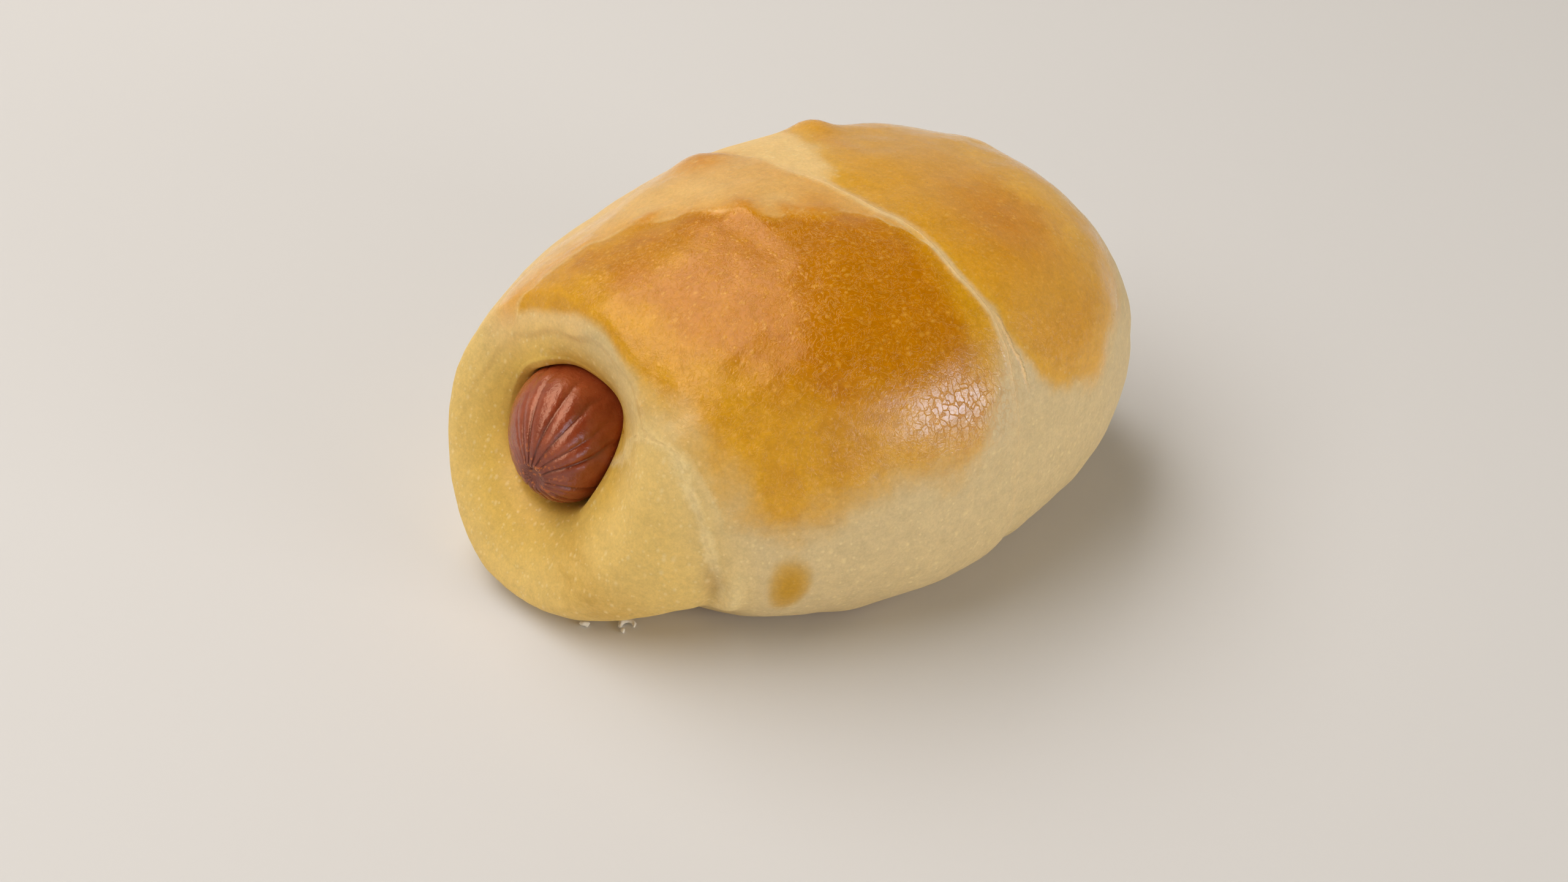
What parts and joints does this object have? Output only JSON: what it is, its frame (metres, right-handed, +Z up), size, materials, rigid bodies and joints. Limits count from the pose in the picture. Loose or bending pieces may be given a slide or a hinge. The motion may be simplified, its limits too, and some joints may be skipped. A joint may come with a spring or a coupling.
{
  "type": "sausage kolache",
  "caption": "Baked bun wrapped round a sausage that shows in a round hole at each end, with a flat underside.",
  "frame": {"origin": "centre of the bounding box on the table plane", "axes": "+Z up, X along the sausage with the end shown in the picture at -X, -Y towards the side shown in the picture"},
  "size_m": [0.1306, 0.0956, 0.068],
  "materials": {
    "crust": "satin",
    "skin": "gloss"
  },
  "bodies": {
    "root": {"bun": "crust", "sausage": "skin"}
  },
  "joints": []
}
